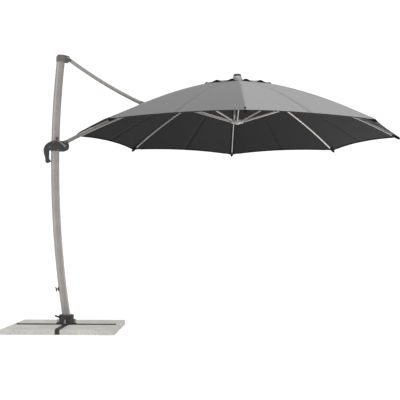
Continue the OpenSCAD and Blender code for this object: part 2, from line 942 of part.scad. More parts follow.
module hinge_pins(z) {
    for (k = [0 : RIBS - 1])
        at_rib(k)
            pin_y([hinge_r, z], rib_pin_r, hinge_pin_len);
}

module crown_hub() {
    cheek_in = neck_w / 2 + 0.8;
    cheek_out = 2 * (cheek_in + 7);
    post_top = vent_apex_z + seat;
    color(cast_grey)
    difference() {
        union() {
            slotted_hub(crown_z + 9 - hub_t, hub_t, crown_z, hub_out_r, lug_w + 0.8);
            translate([canopy_x, 0, crown_z])
                cylinder(h = post_top - crown_z, r = post_r, $fn = fine);
            slab_xz(cheek_out) {
                translate(crown_pin)
                    circle(r = 17, $fn = fine);
                translate([crown_pin[0] - 17, crown_pin[1]])
                    square([34, crown_z - hub_t / 2 - crown_pin[1]]);
            }
        }
        translate([crown_pin[0] - 60, -cheek_in, crown_pin[1] - 40])
            cube([120, 2 * cheek_in, 40 + 20]);
        pin_y(crown_pin, pin_r + 0.1, 100);
    }
}

// Rib pins and the crown's own hinge pin
module crown_pins() {
    color(zinc) {
        hinge_pins(crown_z);
        pin_y(crown_pin, pin_r, neck_w + 15);
    }
}

// Domed cap screwed on the crown post
module finial() {
    base_r = 43;
    dome_r = 16;
    color(black)
    translate([canopy_x, 0, vent_apex_z + 2 * seat])
    rotate_extrude($fn = 2 * fine) {
        square([base_r - dome_r, finial_h]);
        square([base_r, finial_h - dome_r]);
        translate([base_r - dome_r, finial_h - dome_r])
            intersection() {
                circle(r = dome_r, $fn = fine);
                square(dome_r);
            }
    }
}

// Disc under one panel's arc, with a vertex of the arc on the rim
module panel_disc(r) {
    translate(panel_c)
        rotate(90 - panel_rim_angle)
            circle(r = r, $fn = arc_fine);
}

// Region under all eight panels, each ruled straight across from rib to rib
module under_panels(r) {
    intersection_for(turn = [0 : 2 * half_step : 179])
        translate([canopy_x, 0, 0])
            rotate([0, 0, turn])
                slab_xz(3 * canopy_r)
                    intersection() {
                        panel_disc(r);
                        mirror([1, 0])
                            panel_disc(r);
                    }
}

// Plan of the cover: scalloped edges, a hole for the crown post and a slit for the stay
module canopy_plan() {
    difference() {
        translate([canopy_x, 0])
            difference() {
                circle(r = canopy_r - corner_cut, $fn = arc_fine);
                for (k = [0 : RIBS - 1])
                    rotate(2 * half_step * k)
                        translate([panel_a - scallop + scallop_r, 0])
                            circle(r = scallop_r, $fn = arc_fine);
                circle(r = post_r + seat, $fn = fine);
            }
        translate([slit_x[0], -slit_w / 2])
            square([slit_x[1] - slit_x[0], slit_w]);
    }
}

module canopy() {
    color(fabric_grey)
    difference() {
        intersection() {
            linear_extrude(height = big)
                canopy_plan();
            under_panels(panel_r);
        }
        under_panels(panel_r - fabric_t);
    }
}

// Region under a flat-sided roof whose eaves lie on the cover
module under_vent_roof(drop) {
    reach = 1.2;
    eave_z = vent_apex_z - reach * (vent_apex_z - vent_rim_z);
    intersection_for(turn = [0 : 2 * half_step : 179])
        translate([canopy_x, 0, 0])
            rotate([0, 0, turn])
                slab_xz(3 * vent_r)
                    polygon([[0, vent_apex_z - drop], [reach * vent_a, eave_z - drop],
                        [reach * vent_a, 0], [-reach * vent_a, 0],
                        [-reach * vent_a, eave_z - drop]]);
}

// Plan of the vent cap: two scallops along each side
module vent_plan() {
    translate([canopy_x, 0])
        difference() {
            circle(r = vent_r - corner_cut, $fn = 4 * fine);
            for (k = [0 : RIBS - 1])
                for (side = [-1, 1])
                    rotate(2 * half_step * k)
                        translate([vent_a - vent_scallop + vent_scallop_r, side * vent_half])
                            circle(r = vent_scallop_r, $fn = 4 * fine);
            circle(r = post_r + seat, $fn = fine);
        }
}

module vent_cap() {
    rise = atan2(vent_apex_z - vent_rim_z, vent_a);
    color(fabric_grey)
    difference() {
        intersection() {
            linear_extrude(height = big)
                vent_plan();
            under_vent_roof(0);
        }
        under_vent_roof(fabric_t / cos(rise));
    }
}

// Bowed hollow rib with its crown lug, stretcher bracket and end tip
module rib(k) {
    tip = [rib_to, on_rib(rib_to)];
    tip_fall = rib_angle(rib_to);
    bracket_w = 17;
    fall = rib_angle(stretch_at);
    along = [cos(fall), -sin(fall)];
    up = [sin(fall), cos(fall)];
    base = rib_mid + (stretch_drop - 2) * up;
    color(alu)
    at_rib(k)
    difference() {
        union() {
            arc_bar(fabric_c, rib_r, 90 - rib_angle(rib_to), 90 - rib_angle(rib_from))
                oval(rib_d, rib_w);
            slab_xz(bracket_w) {
                translate(rib_mid)
                    circle(r = 9, $fn = fine);
                polygon([rib_mid - 9 * along, base - 20 * along, base + 20 * along,
                    rib_mid + 9 * along]);
            }
            slab_xz(lug_w) {
                translate([hinge_r, crown_z])
                    circle(r = 10.5, $fn = fine);
                translate([hinge_r, crown_z])
                    rotate(-rib_angle(rib_from))
                        translate([0, -8.5])
                            square([rib_from + 10 - hinge_r, 17]);
            }
            arc_bar(fabric_c, rib_r, 90 - rib_angle(rib_to), 90 - rib_angle(rib_to - 8))
                circle(r = tip_r, $fn = fine);
            translate([tip[0], 0, tip[1]])
                rotate([0, 90 + tip_fall, 0]) {
                    translate([0, 0, -4])
                        cylinder(h = 36, r = tip_r - 1, $fn = fine);
                    translate([0, 0, 32])
                        sphere(r = tip_r - 1, $fn = fine);
                }
        }
        arc_bar(fabric_c, rib_r, 90 - rib_angle(rib_to - 8), 90 - rib_angle(rib_from + 30))
            oval(rib_d - 2 * rib_wall, rib_w - 2 * rib_wall);
        translate([tip[0], 0, tip[1]])
            rotate([0, 90 + tip_fall, 0])
                translate([0, 0, -12])
                    cylinder(h = 80, r = drain_r, $fn = fine);
        translate([rib_mid[0], 0, rib_mid[1]])
            rotate([0, fall, 0])
                translate([-60, -tongue_st / 2 - 0.3, -20])
                    cube([120, tongue_st + 0.6, 20 + stretch_drop - rib_d / 2 - 1]);
        pin_y([hinge_r, crown_z], rib_pin_r + running, 60);
    }
    color(zinc)
    at_rib(k)
        pin_y(rib_mid, rib_pin_r, bracket_w - 1);
}

// Straight hollow stretcher from a rib's bracket to the runner
module stretcher(k) {
    tube_from = 30;
    tube_to = stretcher_len - 28;
    color(alu)
    at_rib(k)
    translate([rib_mid[0], 0, rib_mid[1]])
    rotate([0, -stretcher_angle, 0])
    difference() {
        union() {
            translate([tube_from, 0, 0])
                rotate([90, 0, 90])
                    linear_extrude(height = tube_to - tube_from)
                        difference() {
                            oval(stretcher_w, stretcher_d);
                            oval(stretcher_w - 2 * rib_wall, stretcher_d - 2 * rib_wall);
                        }
            slab_xz(tongue_st) {
                circle(r = 8, $fn = fine);
                translate([0, -7])
                    square([tube_from + 16, 14]);
                translate([tube_to - 16, -7])
                    square([stretcher_len - tube_to + 16, 14]);
                translate([stretcher_len, 0])
                    circle(r = 8, $fn = fine);
            }
        }
        pin_y([0, 0], rib_pin_r + running, 60);
        pin_y([stretcher_len, 0], rib_pin_r + running, 60);
    }
}

// Runner: slotted ring with a dished foot and a neck for the lifting line
module runner_hub() {
    z0 = runner_z - runner_t / 2;
    color(cast_grey)
    difference() {
        union() {
            slotted_hub(z0, runner_t, runner_z, runner_out_r, tongue_st + 0.8);
            translate([canopy_x, 0, z0 + runner_t - 1])
                cylinder(h = 14, r = 22, $fn = fine);
            translate([canopy_x, 0, 0])
                rotate_extrude($fn = 2 * fine)
                    polygon([[0, z0 - 14], [18, z0 - 14], [34, z0 - 8], [hub_core_r - 2, z0 + 1],
                        [0, z0 + 1]]);
        }
        translate([canopy_x, 0, z0 + 8])
            cylinder(h = runner_t + 20, r = 12, $fn = fine);
    }
}

module runner_pins() {
    color(zinc)
        hinge_pins(runner_z);
}

cross_frame();
arm_cap(0);  // arm_cap_1
arm_cap(1);  // arm_cap_2
arm_cap(2);  // arm_cap_3
arm_cap(3);  // arm_cap_4
ballast_slab(0);  // slab_1
ballast_slab(1);  // slab_2
ballast_slab(2);  // slab_3
ballast_slab(3);  // slab_4
turn_plate();
turn_bolts();
bearing_ring();
turret_housing();
pedal_pin();
foot_pedal();
mast_tube();
mast_cleat();
head_cap();
head_clevis();
head_pin();
stay_tube();
stay_eye();
stay_fork();
boom_tube();
boom_foot();
boom_neck();
mid_pin();
slider_housing();
slider_pin();
winch_cover();
slider_screws();
grip_lever();
crank_arm();
crank_knob();
crown_hub();
crown_pins();
finial();
canopy();
vent_cap();
rib(0);  // rib_1
rib(1);  // rib_2
rib(2);  // rib_3
rib(3);  // rib_4
rib(4);  // rib_5
rib(5);  // rib_6
rib(6);  // rib_7
rib(7);  // rib_8
stretcher(0);  // stretcher_1
stretcher(1);  // stretcher_2
stretcher(2);  // stretcher_3
stretcher(3);  // stretcher_4
stretcher(4);  // stretcher_5
stretcher(5);  // stretcher_6
stretcher(6);  // stretcher_7
stretcher(7);  // stretcher_8
runner_hub();
runner_pins();
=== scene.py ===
"""Cantilever parasol: a bowed mast on slabs, a folding linkage and an eight-rib canopy.

The fixed frame brings every rigid part. This file gives each of them its real
finish, and sews the soft parts: the cover, its vent cap with the fly mesh under
it, the pockets on the rib ends, the edging of the slit and the collar at the top.
"""

import itertools
import logging
import math
from dataclasses import dataclass
from enum import Enum

import bmesh
import bpy
from mathutils import Matrix, Vector

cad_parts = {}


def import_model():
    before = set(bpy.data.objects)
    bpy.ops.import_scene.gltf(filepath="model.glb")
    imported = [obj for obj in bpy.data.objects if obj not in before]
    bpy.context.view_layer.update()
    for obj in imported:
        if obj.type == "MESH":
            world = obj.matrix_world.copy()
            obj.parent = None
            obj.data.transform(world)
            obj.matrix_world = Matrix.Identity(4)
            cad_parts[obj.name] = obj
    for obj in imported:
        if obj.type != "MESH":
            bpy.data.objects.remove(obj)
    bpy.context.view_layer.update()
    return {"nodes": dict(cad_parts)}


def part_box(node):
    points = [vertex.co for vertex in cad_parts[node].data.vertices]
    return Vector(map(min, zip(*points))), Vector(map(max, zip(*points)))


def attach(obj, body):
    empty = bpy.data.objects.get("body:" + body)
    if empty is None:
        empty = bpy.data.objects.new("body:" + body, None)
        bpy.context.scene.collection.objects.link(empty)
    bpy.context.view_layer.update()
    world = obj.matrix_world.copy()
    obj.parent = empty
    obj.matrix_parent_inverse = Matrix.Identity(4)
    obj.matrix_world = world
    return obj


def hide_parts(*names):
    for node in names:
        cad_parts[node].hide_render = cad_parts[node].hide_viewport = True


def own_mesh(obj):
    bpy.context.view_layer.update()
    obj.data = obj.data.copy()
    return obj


LOG = logging.getLogger("parasol")
MM = 0.001
SIDES = 8
HALF_SIDE = math.pi / SIDES
# every second panel gets a painted shade, kept per face corner under this name
PANEL_SHADE = "painted_panel_shade"
SLIT_PANEL = 4  # the panel over the boom
Colour = tuple[float, float, float, float]
Socket = bpy.types.NodeSocket


def linear(code: str) -> Colour:
    """Turns an sRGB hex colour into linear light.

    Args:
        code: The colour as six hex digits.

    Returns:
        Red, green, blue and a full alpha.
    """
    parts = [int(code[i : i + 2], 16) / 255 for i in (0, 2, 4)]
    light = [c / 12.92 if c <= 0.04045 else ((c + 0.055) / 1.055) ** 2.4 for c in parts]
    return (light[0], light[1], light[2], 1.0)


def per_metre(size_mm: float) -> float:
    """Gives a noise scale whose features are about this many millimetres across."""
    return 1.0 / (size_mm * MM)


def bands(pitch_mm: float) -> float:
    """Gives a wave texture's scale for bands this many millimetres apart."""
    return math.tau / (20.0 * pitch_mm * MM)


def add_node(
    tree: bpy.types.NodeTree,
    kind: str,
    settings: dict | None = None,
    links: dict | None = None,
) -> bpy.types.Node:
    """Adds one node to a material with its settings and links.

    Args:
        tree: The material's node tree.
        kind: The node's type without its ShaderNode prefix.
        settings: Node properties and socket values by name or number; "stops" fills a ramp.
        links: Source sockets by the name or number of the input they feed.

    Returns:
        The new node.
    """
    node = tree.nodes.new("ShaderNode" + kind)
    for key, value in (settings or {}).items():
        if key == "stops":
            for mark, (place, colour) in zip(node.color_ramp.elements, value):
                mark.position, mark.color = place, colour
        elif isinstance(key, str) and hasattr(node, key):
            setattr(node, key, value)
        else:
            node.inputs[key].default_value = value
    for key, source in (links or {}).items():
        tree.links.new(source, node.inputs[key])
    return node


def scaled(colour: Colour, by: float) -> Colour:
    """Brightens or darkens a linear colour, keeping it in range."""
    return (min(colour[0] * by, 1), min(colour[1] * by, 1), min(colour[2] * by, 1), 1.0)


class Recipe:
    """A material in the making: its node tree, its shader and the coordinates it is laid in."""

    def __init__(self, name: str, on_cloth: bool = False) -> None:
        """Opens the material.

        Args:
            name: The material's name.
            on_cloth: True to read the piece's own UV map, laid out in metres.
        """
        self.material = bpy.data.materials.new(name)
        self.material.use_nodes = True
        self.tree = self.material.node_tree
        self.tree.nodes.clear()
        self.shader = self.add("BsdfPrincipled")
        self.add("OutputMaterial", links={"Surface": self.shader.outputs["BSDF"]})
        self.where = self.add("TexCoord").outputs["UV" if on_cloth else "Object"]

    def add(self, kind: str, settings: dict | None = None, links: dict | None = None) -> bpy.types.Node:
        """Adds a node to this material."""
        return add_node(self.tree, kind, settings, links)

    def stretched(self, settings: dict) -> Socket:
        """Turns or stretches the coordinates, and returns the new ones."""
        return self.add("Mapping", settings, {"Vector": self.where}).outputs["Vector"]

    def noise(
        self, size_mm: float, detail: float = 2.0, rough: float = 0.5, where: Socket | None = None
    ) -> Socket:
        """Adds an uneven mottle.

        Args:
            size_mm: About how wide its patches are.
            detail: How many finer layers it has.
            rough: How strong the finer layers are.
            where: Coordinates to use in place of the material's own.

        Returns:
            The mottle's value.
        """
        settings = {"Scale": per_metre(size_mm), "Detail": detail, "Roughness": rough}
        place = self.where if where is None else where
        return self.add("TexNoise", settings, {"Vector": place}).outputs["Fac"]

    def wave(self, direction: str, pitch_mm: float, distortion: float = 0.0) -> Socket:
        """Adds parallel bands a given pitch apart, and returns their value."""
        settings = {"bands_direction": direction, "Scale": bands(pitch_mm), "Distortion": distortion}
        return self.add("TexWave", settings, {"Vector": self.where}).outputs["Fac"]

    def calc(self, operation: str, *terms: Socket | float) -> Socket:
        """Works out one operation on sockets and numbers, and returns its result."""
        numbers = {i: term for i, term in enumerate(terms) if isinstance(term, float)}
        links = {i: term for i, term in enumerate(terms) if i not in numbers}
        return self.add("Math", {"operation": operation} | numbers, links).outputs["Value"]

    def spread(
        self, value: Socket, low: float, high: float, start: float = 0.0, end: float = 1.0
    ) -> Socket:
        """Carries a value over from one range to another.

        Args:
            value: The value.
            low: What it becomes at the start of its range.
            high: What it becomes at the end of its range.
            start: The start of its range.
            end: The end of its range.

        Returns:
            The new value.
        """
        settings = {"From Min": start, "From Max": end, "To Min": low, "To Max": high}
        return self.add("MapRange", settings, {"Value": value}).outputs["Result"]

    def shades(
        self, value: Socket, code: str, first: tuple[float, float], last: tuple[float, float]
    ) -> Socket:
        """Runs between two shades of one colour.

        Args:
            value: The value that picks the shade.
            code: The colour as six hex digits.
            first: The value of the first shade, and the shade's brightness.
            last: The value of the last shade, and the shade's brightness.

        Returns:
            The colour.
        """
        stops = [(place, scaled(linear(code), by)) for place, by in (first, last)]
        return self.add("ValToRGB", {"stops": stops}, {"Fac": value}).outputs["Color"]

    def blend(self, share: Socket, under: Socket, over: Colour) -> Socket:
        """Lays a plain colour over another by a share, and returns the result."""
        return self.add("Mix", {"data_type": "RGBA", 7: over}, {0: share, 6: under}).outputs[2]

    def bump(
        self, height: Socket, strength: float, deep: float, under: Socket | None = None, **more: bool
    ) -> Socket:
        """Adds relief.

        Args:
            height: The relief's height.
            strength: How strongly it shows, up to 1.
            deep: Its depth in metres.
            under: The normal of the relief that it lies on.
            more: The node's other settings.

        Returns:
            The normal.
        """
        links = {"Height": height} if under is None else {"Height": height, "Normal": under}
        return self.add("Bump", {"Strength": strength, "Distance": deep} | more, links).outputs["Normal"]

    def edge_wear(self, wide: float, flat: float, sharp: float, most: float) -> Socket:
        """Finds the edges, where a skin is rubbed.

        Args:
            wide: Radius of the rubbed edge in metres.
            flat: Agreement of the true and the rounded normal where the wear starts.
            sharp: Their agreement where the wear is full.
            most: The full wear.

        Returns:
            The wear, 0 on flat faces.
        """
        rounded = self.add("Bevel", {"samples": 4, "Radius": wide}).outputs["Normal"]
        true = self.add("NewGeometry").outputs["Normal"]
        facing = self.add("VectorMath", {"operation": "DOT_PRODUCT"}, {0: rounded, 1: true})
        return self.spread(facing.outputs["Value"], 0.0, most, flat, sharp)

    def close(
        self, colour: Socket, dull: Socket, relief: Socket, constants: dict[str, float] | None = None
    ) -> bpy.types.Material:
        """Joins the parts to the shader.

        Args:
            colour: The surface's colour.
            dull: Its roughness.
            relief: Its normal.
            constants: Plain values of other inputs.

        Returns:
            The finished material.
        """
        for key, source in (("Base Color", colour), ("Roughness", dull), ("Normal", relief)):
            self.tree.links.new(source, self.shader.inputs[key])
        for key, value in (constants or {}).items():
            self.shader.inputs[key].default_value = value
        return self.material


class Lay(Enum):
    """Direction in which a profile was drawn, as a unit vector in the part's frame."""

    UPRIGHT = (0.0, 0.0, 1.0)
    STAY = (0.894, 0.0, -0.447)
    BOOM = (0.914, 0.0, 0.405)
    LEVEL = (1.0, 0.0, 0.0)


@dataclass(frozen=True)
class Finish:
    """A real surface finish that becomes one procedural material."""

    name: str

    def make(self) -> bpy.types.Material:
        """Builds the material."""
        raise NotImplementedError


@dataclass(frozen=True)
class MouldedPlastic(Finish):
    """Injection-moulded polyamide: a dull spark-eroded grain, edges rubbed a little paler."""

    colour: str = "2b2a2b"
    worn: str = "5a5859"
    roughness: float = 0.48
    grain_mm: float = 1.6  # real grain is 0.3 mm, drawn coarser so that it shows
    wear: float = 0.5
    cloud_mm: float = 45.0
    edge: float = 2.2 * MM
    relief: float = 0.12 * MM

    def make(self) -> bpy.types.Material:
        """Builds the material.

        Returns:
            The finished material.
        """
        recipe = Recipe(self.name)
        grain = recipe.noise(self.grain_mm, 3.0, 0.6)
        cloud = recipe.noise(self.cloud_mm)
        rubbed = recipe.calc("MULTIPLY", recipe.edge_wear(self.edge, 0.995, 0.80, self.wear), cloud)
        body = recipe.shades(cloud, self.colour, (0.35, 0.86), (0.65, 1.14))
        mixed = recipe.blend(rubbed, body, linear(self.worn))
        dull = recipe.spread(grain, self.roughness - 0.08, self.roughness + 0.10)
        return recipe.close(mixed, dull, recipe.bump(grain, 0.25, self.relief), {"IOR": 1.53})


@dataclass(frozen=True)
class PowderCoat(Finish):
    """Powder-coated metal: an even satin skin with a fine orange peel and soft edges."""

    colour: str = "2a2a2b"
    worn: str = "6b6b6b"
    metallic: float = 0.0
    roughness: float = 0.45
    peel_mm: float = 2.4
    lay: Lay = Lay.LEVEL
    line_mm: float = 5.0  # drawing lines, long along the profile
    line_stretch: float = 0.012
    cloud_mm: float = 140.0
    edge: float = 1.2 * MM
    relief: float = 0.1 * MM

    def make(self) -> bpy.types.Material:
        """Builds the material.

        Returns:
            The finished material.
        """
        recipe = Recipe(self.name)
        turn = Vector(self.lay.value).rotation_difference(Vector((0, 0, 1))).to_euler()
        drawn = recipe.stretched({"Rotation": tuple(turn), "Scale": (1.0, 1.0, self.line_stretch)})
        peel = recipe.noise(self.peel_mm)
        lines = recipe.noise(self.line_mm, where=drawn)
        tone = recipe.calc("MULTIPLY_ADD", lines, 0.45, recipe.noise(self.cloud_mm, 3.0))
        body = recipe.shades(tone, self.colour, (0.5, 0.91), (0.95, 1.08))
        mixed = recipe.blend(recipe.edge_wear(self.edge, 0.99, 0.75, 0.45), body, linear(self.worn))
        dull = recipe.spread(peel, self.roughness - 0.07, self.roughness + 0.09)
        relief = recipe.bump(peel, 0.18, self.relief)
        return recipe.close(mixed, dull, relief, {"Metallic": self.metallic})


@dataclass(frozen=True)
class ZincPlate(Finish):
    """Bright zinc-plated steel: cool, mottled by the plating bath, with fine turning marks."""

    colour: str = "a7a9aa"
    mottle_mm: float = 3.5
    mark_mm: float = 1.2
    relief: float = 0.05 * MM

    def make(self) -> bpy.types.Material:
        """Builds the material.

        Returns:
            The finished material.
        """
        recipe = Recipe(self.name)
        mottle = recipe.add("TexVoronoi", {"Scale": per_metre(self.mottle_mm)}, {"Vector": recipe.where})
        marks = recipe.noise(self.mark_mm)
        tone = recipe.shades(mottle.outputs["Color"], self.colour, (0.0, 0.8), (1.0, 1.12))
        relief = recipe.bump(marks, 0.15, self.relief)
        return recipe.close(tone, recipe.spread(marks, 0.26, 0.44), relief, {"Metallic": 1.0})


@dataclass(frozen=True)
class WashedConcrete(Finish):
    """Pressed concrete paving with washed chippings: pale, matt and speckled."""

    colour: str = "c9c7c2"
    chip: str = "949289"
    chip_mm: float = 7.0  # chippings 3 to 8 mm across
    sand_mm: float = 2.5
    damp_mm: float = 170.0
    relief: float = 0.8 * MM

    def make(self) -> bpy.types.Material:
        """Builds the material.

        Returns:
            The finished material.
        """
        recipe = Recipe(self.name)
        chips = recipe.add("TexVoronoi", {"Scale": per_metre(self.chip_mm)}, {"Vector": recipe.where})
        sand = recipe.noise(self.sand_mm, 4.0, 0.7)
        split = recipe.add("SeparateColor", links={"Color": chips.outputs["Color"]})
        dark = recipe.spread(split.outputs["Red"], 0.0, 0.6, 0.62, 0.95)
        ground = recipe.shades(sand, self.colour, (0.3, 0.84), (0.7, 1.06))
        stained = recipe.add(
            "Mix",
            {"data_type": "RGBA", "blend_type": "MULTIPLY", 0: 0.35},
            {6: recipe.blend(dark, ground, linear(self.chip)), 7: recipe.noise(self.damp_mm, 3.0)},
        )
        height = recipe.calc("SUBTRACT", sand, chips.outputs["Distance"])
        relief = recipe.bump(height, 0.5, self.relief)
        return recipe.close(stained.outputs[2], recipe.spread(sand, 0.82, 0.96), relief)


@dataclass(frozen=True)
class WovenPolyester(Finish):
    """Spun polyester canvas: dry and even, with slubs in the yarn and puckers at the seams.

    Every second panel is painted a shade darker, a painted shade for the light falling differently on
    neighbouring panels.
    """

    colour: str = "818181"
    sheen: float = 0.15
    # brightness of every second panel, a painted shade
    turned: float = 0.53
    gloss: float = 0.5
    thread_mm: float = 5.0  # real threads are 0.45 mm apart, drawn coarser so that they show
    pucker: float = 0.6
    slub_mm: float = 9.0
    pucker_mm: float = 60.0
    stitch_mm: float = 7.0
    seam_off: float = 9 * MM  # a row of stitches runs on each side of the rib
    weave_deep: float = 0.3 * MM
    seam_deep: float = 0.8 * MM
    pucker_deep: float = 3.0 * MM

    def make(self) -> bpy.types.Material:
        """Builds the material.

        Returns:
            The finished material.
        """
        recipe = Recipe(self.name, on_cloth=True)
        weave = recipe.calc("MULTIPLY", *(recipe.wave(way, self.thread_mm, 0.6) for way in "XY"))
        slub = recipe.noise(self.slub_mm, where=recipe.stretched({"Scale": (0.08, 1.0, 1.0)}))
        pull = recipe.noise(self.pucker_mm, where=recipe.stretched({"Scale": (1.0, 0.09, 1.0)}))
        tone = recipe.calc("MULTIPLY_ADD", weave, 0.35, slub)
        body = recipe.shades(tone, self.colour, (0.35, 0.92), (0.85, 1.07))
        # painted shade: every second panel is darkened to stand for the light falling differently on the
        # panels
        grain = recipe.add("Attribute", {"attribute_name": PANEL_SHADE}).outputs["Fac"]
        shade = recipe.spread(grain, 1.0, self.turned)
        cut = recipe.add("VectorMath", {"operation": "SCALE"}, {"Vector": body, "Scale": shade})
        across = recipe.add("SeparateXYZ", links={"Vector": recipe.where}).outputs["X"]
        beside = recipe.calc("SUBTRACT", recipe.calc("ABSOLUTE", across), self.seam_off)
        row = recipe.spread(recipe.calc("ABSOLUTE", beside), 1.0, 0.0, 0.8 * MM, 2.2 * MM)
        thread = recipe.calc("MULTIPLY", row, recipe.wave("Y", self.stitch_mm))
        sewn = recipe.blend(thread, cut.outputs["Vector"], scaled(linear(self.colour), 0.7))
        fine = recipe.bump(tone, 0.25, self.weave_deep)
        seam = recipe.bump(row, 0.5, self.seam_deep, fine, invert=True)
        creased = recipe.bump(pull, self.pucker, self.pucker_deep, seam)
        constants = {
            "Sheen Weight": self.sheen,
            "Sheen Roughness": 0.6,
            "Specular IOR Level": self.gloss,
        }
        return recipe.close(sewn, recipe.spread(tone, 0.84, 0.95), creased, constants)


@dataclass(frozen=True)
class Webbing(Finish):
    """Black polyester binding: close cross ribs and a faint lustre."""

    colour: str = "080808"
    rib_mm: float = 3.0  # real ribs are 1.2 mm apart, drawn coarser so that they show
    gloss: float = 0.15
    fuzz_mm: float = 4.0
    relief: float = 0.4 * MM

    def make(self) -> bpy.types.Material:
        """Builds the material.

        Returns:
            The finished material.
        """
        recipe = Recipe(self.name)
        fuzz = recipe.noise(self.fuzz_mm, 3.0)
        tone = recipe.calc("MULTIPLY", recipe.wave("DIAGONAL", self.rib_mm), fuzz)
        body = recipe.shades(tone, self.colour, (0.0, 0.6), (0.7, 1.9))
        relief = recipe.bump(tone, 0.4, self.relief)
        dull = recipe.spread(fuzz, 0.68, 0.86)
        return recipe.close(body, dull, relief, {"Specular IOR Level": self.gloss})


@dataclass(frozen=True)
class MattPaint(Finish):
    """Painted sweep of a studio: matt near-white with the faintest mottle."""

    colour: str = "ffffff"
    roughness: float = 0.9
    mottle_mm: float = 400.0

    def make(self) -> bpy.types.Material:
        """Builds the material.

        Returns:
            The finished material.
        """
        recipe = Recipe(self.name)
        tone = recipe.shades(recipe.noise(self.mottle_mm), self.colour, (0.3, 0.96), (0.7, 0.98))
        recipe.tree.links.new(tone, recipe.shader.inputs["Base Color"])
        recipe.shader.inputs["Roughness"].default_value = self.roughness
        return recipe.material


class Paint(Enum):
    """The finishes of this parasol, one for each kind of part."""

    FRAME = PowderCoat("powder_coated_steel_black", "1e1d1c", "3f3e3d")
    MAST = PowderCoat(
        "powder_coated_aluminium_mast", "9b9795", "bab7b5", 0.55, 0.42, 2.4, Lay.UPRIGHT
    )
    STAY = PowderCoat(
        "powder_coated_aluminium_stay", "959391", "b6b3b1", 0.5, 0.42, 2.4, Lay.STAY
    )
    # the boom's aluminium is painted darker than the mast's same aluminium, a painted shade
    BOOM = PowderCoat(
        "powder_coated_aluminium_boom_painted_shade", "797775", "9a9896", 0.5, 0.42, 2.4, Lay.BOOM
    )
    RIB = PowderCoat("powder_coated_aluminium_rib", "969391", "b5b3b1", 0.45, 0.42, 2.0)
    HEAD = PowderCoat("powder_coated_casting_head", "5f5e5d", "82807f", 0.2, 0.5, 3.0)
    FITTING = PowderCoat("powder_coated_casting_joint", "6f6e6d", "959392", 0.3, 0.48)
    HUB = PowderCoat("powder_coated_casting_hub", "8e8c8b", "b0aeac", 0.3, 0.46)
    CLEVIS = MouldedPlastic("moulded_polyamide_clevis", "464545", "6c6a69")
    HOUSING = MouldedPlastic("moulded_polyamide_housing", "272526", "494748", 0.44)
    COLLAR = MouldedPlastic("moulded_polyamide_collar", "8d8c8b", "adabaa", 0.48)
    BLACK = MouldedPlastic("moulded_polyamide_black", "242323", "4e4c4c", 0.5)
    KNOB = MouldedPlastic("moulded_polyamide_knob", "2b2425", "4c4446", 0.4)
    ZINC = ZincPlate("zinc_plated_steel")
    SLAB = WashedConcrete("washed_concrete")
    COVER = WovenPolyester("woven_polyester_cover")
    # the underside is the cover's fabric painted far darker, a painted shade for the shadow under the
    # canopy
    LINING = WovenPolyester("polyester_underside_painted_shade", "1d1d1d", 0.0, turned=0.85, gloss=0.15)
    TAPE = Webbing("polyester_binding_black")
    # black fly mesh for the vent net; on the vent cap's underside the same black is painted shade
    MESH = Webbing("knitted_fly_mesh_and_painted_shade", "050505", 4.0)
    STUDIO = MattPaint("matt_studio_paint")

    def material(self) -> bpy.types.Material:
        """Returns the finish's material, made once and then shared."""
        return bpy.data.materials.get(self.value.name) or self.value.make()


# The solids that get each finish; a name's number is left out.
SOLIDS: dict[Paint, str] = {
    Paint.FRAME: "cross_frame turn_plate",
    Paint.SLAB: "slab_",
    Paint.MAST: "mast_tube",
    Paint.STAY: "stay_tube",
    Paint.BOOM: "boom_tube crank_arm",
    Paint.RIB: "rib_ stretcher_",
    Paint.HEAD: "head_cap",
    Paint.CLEVIS: "head_clevis stay_eye",
    Paint.FITTING: "stay_fork boom_foot boom_neck",
    Paint.HUB: "crown_hub runner_hub",
    Paint.HOUSING: "slider_housing winch_cover grip_lever",
    Paint.BLACK: "arm_cap_ turret_housing foot_pedal mast_cleat finial bearing_ring",
    Paint.KNOB: "crank_knob",
    Paint.ZINC: "turn_bolts pedal_pin head_pin mid_pin slider_pin slider_screws crown_pins runner_pins",
}


def finish_solids(nodes: dict) -> None:
    """Gives every rigid solid of the frame its finish.

    Args:
        nodes: The frame's solids by name.
    """
    for paint, names in SOLIDS.items():
        for name, solid in nodes.items():
            if name.rstrip("0123456789") not in names.split():
                continue
            if not solid.material_slots:
                solid.data.materials.append(paint.material())
            for holder in solid.material_slots:
                holder.material = paint.material()
            LOG.info("%s is finished in %s", name, paint.value.name)


def settle(
    mesh: bmesh.types.BMesh, name: str, paints: list[Paint], smooth: bool = True
) -> bpy.types.Object:
    """Turns a finished bmesh into an object at the origin.

    Args:
        mesh: The bmesh, which is freed.
        name: The piece's name.
        paints: Its finishes in slot order.
        smooth: Whether its faces are shaded smooth.

    Returns:
        The new object, linked to the scene.
    """
    data = bpy.data.meshes.new(name)
    mesh.to_mesh(data)
    mesh.free()
    for face in data.polygons:
        face.use_smooth = smooth
    for paint in paints:
        data.materials.append(paint.material())
    piece = bpy.data.objects.new(name, data)
    bpy.context.scene.collection.objects.link(piece)
    return piece


def thicken(piece: bpy.types.Object, wall: float, settings: dict | None = None) -> None:
    """Gives an open surface its wall.

    Args:
        piece: The piece.
        wall: The wall's thickness in metres.
        settings: The modifier's other settings.
    """
    modifier = piece.modifiers.new("wall", "SOLIDIFY")
    modifier.thickness = wall
    for key, value in (settings or {}).items():
        setattr(modifier, key, value)


def rib_place(k: int, centre: Vector) -> Matrix:
    """Carries a point seen from the canopy's axis with the rib along +X over to rib k."""
    home = Matrix.Translation((centre.x, centre.y, 0))
    return home @ Matrix.Rotation(HALF_SIDE * (2 * k - 1), 4, "Z")


